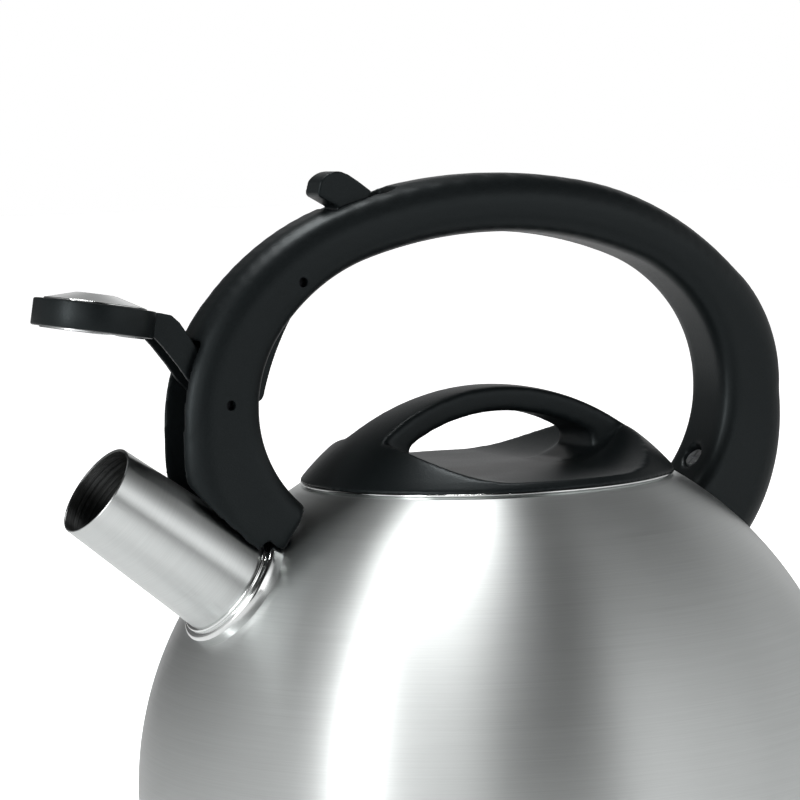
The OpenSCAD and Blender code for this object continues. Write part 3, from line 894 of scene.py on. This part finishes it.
class KETTLE_OT_handle(bpy.types.Operator):
    """Extrudes the handle along its arch, rounds it, and cuts the room for the mechanism"""
    bl_idname = "kettle.handle"
    bl_label = "Handle"

    def execute(self, context):
        size = context.scene.kettle_handle
        obj = self.arch(size)
        self.cut_feet(context, obj)
        self.cut_room(obj)
        soften(obj, 0.75, 9)
        for place in (LEVER_P, CAP_P):
            for low, high in ((THROUGH[0], -PIN_HOLE_END), (PIN_HOLE_END, THROUGH[1])):
                cut(obj, rod("pin_hole", place, PIN_HOLE_R, low, high, 40))
        shade(obj, 60)
        finish_piece(obj, "handle_moulding", "kettle", "black_plastic", "black_plastic", "handle")
        return {"FINISHED"}

    def stations(self, size):
        """Centre, vector across and half width of each section, from front foot to rear foot."""
        top, under = size.top / MM, size.grip_underside / MM
        half = size.half_width / MM
        flare = size.foot_flare / MM
        sections = []
        angles = list(range(0, 91, 3)) + [90.01] + list(range(93, FOOT_ANGLE, 3)) + [FOOT_ANGLE]
        runs = [(a, 0) for a in angles] + [(FOOT_ANGLE, FOOT_RUN)]
        for side, outside, inside, drop in ((-1, FRONT_OUTER, FRONT_INNER, FRONT_DROP),
                                            (1, REAR_OUTER, REAR_INNER, REAR_DROP)):
            half_arch = []
            for angle, run in runs:
                outer = along(outside, top, drop, angle, run)
                inner = along(inside, under, 0, angle, run)
                for point in (outer, inner):
                    point.x *= side
                spread = max(0, angle - FLARE_ANGLE) / (FOOT_ANGLE - FLARE_ANGLE)
                width = half + flare * spread ** 1.5
                half_arch.append(((outer + inner) / 2, outer - inner, width))
            sections += half_arch[::-1] if side < 0 else half_arch[1:]
        return sections

    def arch(self, size):
        sections = self.stations(size)
        centre, across, width = sections[0]
        deselect()
        bpy.ops.mesh.primitive_plane_add(size=2)
        obj = bpy.context.object
        obj.name = "arch"
        edit(obj)
        turn = atan2(-across.y, across.x)
        here = Vector((centre.x, 0, centre.y)) * MM
        bpy.ops.transform.resize(
            value=(across.length / 2 * MM, width * MM, 1), center_override=(0, 0, 0))
        bpy.ops.transform.rotate(value=-turn, orient_axis="Y", center_override=(0, 0, 0))
        bpy.ops.transform.translate(value=here)
        for (_, old, old_width), (centre, new, width) in zip(sections, sections[1:]):
            there = Vector((centre.x, 0, centre.y)) * MM
            bpy.ops.mesh.extrude_region_move(TRANSFORM_OT_translate={"value": there - here})
            here = there
            new_turn = atan2(-new.y, new.x)
            bpy.ops.transform.rotate(value=turn, orient_axis="Y", center_override=here)
            bpy.ops.transform.resize(
                value=(new.length / old.length, width / old_width, 1), center_override=here)
            bpy.ops.transform.rotate(value=-new_turn, orient_axis="Y", center_override=here)
            turn = new_turn
        bpy.ops.mesh.select_all(action="SELECT")
        bpy.ops.mesh.normals_make_consistent(inside=False)
        self.round_long_edges(obj, sections, size)
        leave_edit()
        return obj

    def round_long_edges(self, obj, sections, size):
        """Bevels the four edges that run along the arch, the outer pair more than the inner."""
        middles = [Vector((c.x, c.y)) * MM for c, _, _ in sections]
        outwards = [a.normalized() for _, a, _ in sections]
        for sign, radius in ((1, size.outer_rounding), (-1, size.inner_rounding)):
            mesh = bmesh.from_edit_mesh(obj.data)
            bpy.ops.mesh.select_all(action="DESELECT")
            for edge in mesh.edges:
                first, second = edge.verts
                if (edge.calc_length() > LONGEST_SIDE * MM
                        or abs(first.co.y - second.co.y) > 0.3 * MM):
                    continue
                if all(self.side(v.co, middles, outwards) == sign for v in (first, second)):
                    edge.select_set(True)
            mesh.select_flush_mode()
            bmesh.update_edit_mesh(obj.data)
            bpy.ops.mesh.bevel(offset_type="OFFSET", offset=radius, segments=10, profile=0.5,
                               affect="EDGES", clamp_overlap=False)

    def side(self, place, middles, outwards):
        """1 on the arch's outer edges, -1 on its inner ones, 0 between the flanks."""
        if abs(place.y) < FLANK * MM:
            return 0
        spot = Vector((place.x, place.z))
        nearest = min(range(len(middles)), key=lambda i: (spot - middles[i]).length)
        offset = (spot - middles[nearest]).dot(outwards[nearest])
        return 1 if offset > 0 else -1

    def cut_feet(self, context, obj):
        spout = context.scene.kettle_spout
        root, collar = spout.root_radius / MM, spout.collar_distance / MM
        tube = rod("tube_room", (0, 0), root + 0.35, -collar - 20, 10, 96, "Z")
        ring = rod("collar_room", (0, 0), root + 3.5, -collar - 12, -collar + 3.4, 96, "Z")
        for cutter in (tube, ring):
            settle(cutter, spout_matrix())
        belly = ball(context.scene.kettle_body.belly_radius / MM + 0.03, 128)
        cut(obj, belly, tube, ring)

    def cut_room(self, obj):
        """The open channel and cavity of the front leg, the fin's slot, and the screws' holes."""
        room = [
            (-120, 179.6), (-95.8, 179.6), (-91.5, 183), (-84, 192), (-76, 199.2), (-67, 205),
            (-57, 209.6), (-45, 214), (-31.5, 217.4), (-31.5, 206.4), (-40, 205), (-50, 201.4),
            (-57, 197), (-58.5, 186), (-68, 166), (-72, 157.5), (-84.6, 157.5), (-87, 151),
            (-88.5, 144), (-88.8, 138), (-87, 132.2), (-83.7, 128.6), (-79.2, 124.4), (-75, 120.4),
            (-75, 105), (-120, 105)]
        fin = [(-58, 206), (-52.6, 212.2), (-51.2, 217), (-51.2, 235), (-30.5, 235), (-30.5, 212),
               (-45, 206)]
        foot_gap = [(-77, 115.3), (-67, 129.3), (-55, 129.3), (-55, 105), (-77, 105)]
        cut(obj, plate("room", room, -6.6, 6.6), plate("fin_room", fin, -5.2, 5.2),
            plate("foot_gap", foot_gap, -20, 20))
        for side in (-1, 1):
            for radius, low, high in ((3.9, -20, -2.2), (2.1, -4, 3)):
                hole = rod("screw_hole", (0, 0), radius, low, high, 48, "Z")
                settle(hole, tab_matrix(side))
                cut(obj, hole)


def tab_matrix(side):
    """A handle screw's own frame: +Z from the leg's inner side out through the bracket."""
    size = bpy.context.scene.kettle_body
    radius, height = size.belly_radius / MM, size.belly_height / MM
    mirror = Matrix.Scale(-1, 4, (1, 0, 0)) if side < 0 else Matrix.Identity(4)
    tab_z = height + sqrt(radius * radius - TAB_X * TAB_X)
    return (mirror @ Matrix.Translation(Vector((TAB_X, 0, tab_z)) * MM)
            @ Matrix.Rotation(radians(TAB_LEAN), 4, "Y")
            @ Matrix.Translation((0, 0, TAB_UP * MM)) @ Matrix.Rotation(pi / 2, 4, "Y"))


class KETTLE_OT_lever(bpy.types.Operator):
    """Makes the thumb lever: hooked fin, web, pivot boss and forked tail"""
    bl_idname = "kettle.lever"
    bl_label = "Thumb lever"

    def execute(self, context):
        outline = (
            [(-69.6, 196.5), (-63.5, 200.2), (-56.5, 205.5), (-51, 212), (-49.6, 216.6),
             (-54.6, 219.5)]
            + arc((-54.3, 221.1), 1.6, 240, 150, 6) + arc((-49.2, 219.7), 7.4, 142, 82, 10)
            + [(-45.6, 226), (-42.4, 223.9), (-38.2, 220.8), (-39.4, 217), (-46.5, 211.5),
               (-54.5, 204), (-60.2, 196.8), (-61.1, 192)]
            + arc((0.9, 142), 80, 145, 164, 12) + arc((-79.2, 163.6), 3, -10, -90, 6)
            + arc(DRIVE_P, 3, -90, -190, 8) + [(-83.4, 171), (-78.2, 184)])
        obj = plate("thumb_lever", outline, -5.5, 5.5)
        combine(obj, rod("boss", LEVER_P, 4.4, -6.2, 5.5), "UNION")
        fin = [(-70, 207), (-10, 207), (-10, 247), (-70, 247)]
        fork = [(-110, 120), (-50, 120), (-50, 178), (-110, 178)]
        cut(obj, plate("thin", fin, 4.5, 24.5), plate("thin", fin, -24.5, -4.5),
            plate("fork", fork, -3, 3), rod("coil_room", LEVER_P, 5.4, 3.2, 12))
        soften(obj, 0.35, 5)
        cut(obj, rod("bore", LEVER_P, 1.3, *THROUGH), rod("bore", DRIVE_P, 1.2, *THROUGH))
        shade(obj, 50)
        finish_piece(obj, "thumb_lever_moulding", "lever", "black_plastic", "black_plastic",
                     "thumb_lever")
        return {"FINISHED"}


class KETTLE_OT_cap(bpy.types.Operator):
    """Makes the whistle cap: ring, hollow arm, slotted crank and the steel cover"""
    bl_idname = "kettle.cap"
    bl_label = "Whistle cap"

    def execute(self, context):
        self.arm()
        self.cover()
        return {"FINISHED"}

    def arm(self):
        outline = [
            (-90, 163.3), (-107.9, 162.3), (-117.4, 161.2), (-120.6, 160.0), (-123.0, 157.2),
            (-124.6, 154.9), (-119.8, 151.3), (-117.1, 152.3), (-113.7, 153.2), (-106.3, 154.6),
            (-101, 155.2), (-93.5, 157.6), (-90, 157.6)]
        hollow = [
            (-91, 161.6), (-107.9, 160.7), (-117, 159.6), (-119.4, 158.6), (-120.4, 157),
            (-116.5, 148), (-104, 150), (-92, 154)]
        arm = plate("cap_arm", outline, -5, 5)
        inside = rod("ring_room", (0, 0), CAP_R - 1, -8, 22, 96, "Z")
        settle(inside, spout_matrix())
        cut(arm, plate("hollow", hollow, -3.6, 3.6), inside)
        closed_turn = atan2(DRIVE_P.y - CAP_P.y, DRIVE_P.x - CAP_P.x) + radians(CAP_SWING)
        reach = (DRIVE_P - CAP_P).length
        combine(arm, rod("boss", CAP_P, 3.3, -6.3, 6.3), "UNION")
        crank = long_hole(closed_turn, 0, reach, 4.6, 3.2)
        combine(arm, plate("crank", crank, -2.5, 2.5), "UNION")
        soften(arm, 0.3, 3)
        ring = turned("ring", [
            (CAP_R - 2.6, -1), (CAP_R - 0.55, -1), (CAP_R - 0.15, -0.85), (CAP_R, -0.45),
            (CAP_R, CAP_T - 1.5), (CAP_R - 0.15, CAP_T - 1.15), (CAP_R - 0.5, CAP_T - 1),
            (12.6, CAP_T - 1), (12.6, 1.2), (CAP_R - 2.6, 1.2)], 144)
        settle(ring, spout_matrix())
        combine(arm, ring, "UNION")
        cut(arm, rod("bore", CAP_P, 1.3, *THROUGH),
            plate("slot", long_hole(closed_turn, 6.6, reach, 1.55, 1.55), -4, 4))
        settle(arm, opened_matrix())
        shade(arm, 40)
        finish_piece(arm, "cap_arm_moulding", "whistle_cap", "black_plastic", "black_plastic",
                     "cap_arm")

    def cover(self):
        seat = CAP_T - 1
        top = ([(2, seat + 3.1), (5.2, seat + 3.05)] + arc((5.6, seat + 0.6), 2.4, 85, 72, 4)
               + [(13.9, seat + 0.75), (14.35, seat + 0.6)]
               + arc((14.6, seat + 0.3), 0.3, 80, -90, 8))
        under = [(14.2, seat), (7.3, seat + 1.9), (4.6, seat + 2.4), (2, seat + 2.5)]
        obj = turned("whistle_cover", top + under, 128)
        settle(obj, opened_matrix() @ spout_matrix())
        shade(obj, 30)
        finish_piece(obj, "whistle_cover_dome", "whistle_cap", "polished_steel", "polished_steel",
                     "whistle_cover")


def long_hole(turn, start, end, first, second):
    """Outline round two circles of radius first and second, at start and end on a line off the
    cap pin."""
    points = []
    for distance, radius, side in ((start, first, 90), (end, second, -90)):
        middle = CAP_P + distance * Vector((cos(turn), sin(turn)))
        for i in range(17):
            a = turn + radians(side + 11.25 * i)
            points.append((middle.x + radius * cos(a), middle.y + radius * sin(a)))
    return points


CAD_FINISHES = {
    "neck_ring": "base_steel", "heat_spreader": "aluminium",
    "front_bracket": "sheet_steel", "rear_bracket": "sheet_steel",
    "front_handle_screw": "plated_steel", "rear_handle_screw": "plated_steel",
    "lever_pin": "blackened_steel", "cap_pin": "blackened_steel", "drive_pin": "plated_steel",
    "lid_screws": "plated_steel", "lid_washers": "plated_steel", "return_spring": "spring_steel",
    "whistle_plate": "sheet_steel", "whistle_chamber": "sheet_steel",
}


class KETTLE_OT_fittings(bpy.types.Operator):
    """Gives the pins, screws, spring, brackets and whistle sheets their finishes"""
    bl_idname = "kettle.fittings"
    bl_label = "Fittings"

    def execute(self, context):
        for name, material in CAD_FINISHES.items():
            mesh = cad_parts[name].data
            mesh.materials.clear()
            mesh.materials.append(finish(material))
        return {"FINISHED"}


# ---- panel and run

PIECES = (KETTLE_OT_stage, KETTLE_OT_body, KETTLE_OT_base, KETTLE_OT_spout, KETTLE_OT_lid,
          KETTLE_OT_handle, KETTLE_OT_lever, KETTLE_OT_cap, KETTLE_OT_fittings)
GROUPS = {
    "kettle_stage": KettleStage, "kettle_body": KettleBody, "kettle_spout": KettleSpout,
    "kettle_lid": KettleLid, "kettle_handle": KettleHandle, "kettle_finishes": KettleFinishes,
}


class VIEW3D_PT_kettle(bpy.types.Panel):
    """Sizes, finishes and pieces of the kettle"""
    bl_label = "Kettle"
    bl_space_type = "VIEW_3D"
    bl_region_type = "UI"
    bl_category = "Kettle"

    def draw(self, context):
        layout = self.layout
        for group in GROUPS:
            values = getattr(context.scene, group)
            box = layout.box()
            box.label(text=group.replace("_", " ").capitalize())
            for key in values.__annotations__:
                box.prop(values, key)
        for piece in PIECES:
            layout.operator(piece.bl_idname)


CLASSES = (*GROUPS.values(), *PIECES, VIEW3D_PT_kettle)


def register():
    for cls in CLASSES:
        bpy.utils.register_class(cls)
    for name, group in GROUPS.items():
        setattr(bpy.types.Scene, name, PointerProperty(type=group))


def unregister():
    for name in GROUPS:
        delattr(bpy.types.Scene, name)
    for cls in reversed(CLASSES):
        bpy.utils.unregister_class(cls)


def main():
    register()
    for piece in PIECES:
        area, name = piece.bl_idname.split(".")
        getattr(getattr(bpy.ops, area), name)()


if __name__ == "__main__":
    main()
